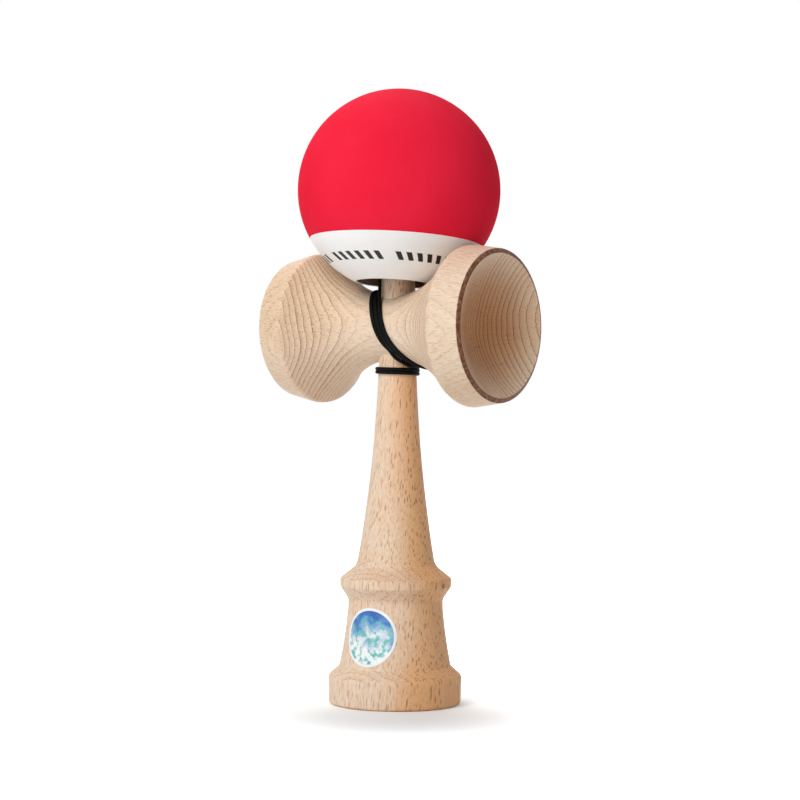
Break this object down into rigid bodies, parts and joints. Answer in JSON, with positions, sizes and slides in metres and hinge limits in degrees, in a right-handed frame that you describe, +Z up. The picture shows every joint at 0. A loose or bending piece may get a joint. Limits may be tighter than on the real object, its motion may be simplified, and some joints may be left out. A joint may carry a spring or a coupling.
{
  "type": "kendama",
  "caption": "Wooden kendama: turned ken with spike and base cup, a cross piece with two cups wedged on it, a coated ball seated on the spike, and a string lashed round the cross.",
  "frame": {"origin": "on the ken's axis in the plane of the base rim that the toy stands on", "axes": "+Z up along the ken towards the spike, +X along the cross piece towards the big cup, +Y towards the string's hole"},
  "size_m": [0.0734, 0.06, 0.1816],
  "materials": {
    "ken_wood": "fine sanded beech, grain along the ken",
    "cup_wood": "fine sanded beech, grain along the cups",
    "ball_wood": "bare drilled beech",
    "red_rubber": "matte soft rubber coat",
    "white_paint": "matte paint coat with a printed ring of marks",
    "bead_wood": "bare beech",
    "string": "black braided string",
    "sticker": "printed foil sticker"
  },
  "bodies": {
    "ken": {"ken": "ken_wood", "cross_piece": "cup_wood", "ken_knot": "string", "string_winding": "string", "string_run": "string", "sticker": "sticker"},
    "bead": {"bead": "bead_wood", "bead_knot": "string"},
    "ball": {"ball_core": "ball_wood", "red_coat": "red_rubber", "white_coat": "white_paint"}
  },
  "joints": [
    {"name": "ball_lift", "type": "slide", "parent": "ken", "child": "bead", "axis": [0, 0, 1], "range_m": [0, 0.06], "deforming": ["string_run"]},
    {"name": "ball_spin", "type": "hinge", "parent": "bead", "child": "ball", "pos_m": [0, 0, 0.15162], "axis": [0, 0.0819, 0.9966], "continuous": true}
  ]
}
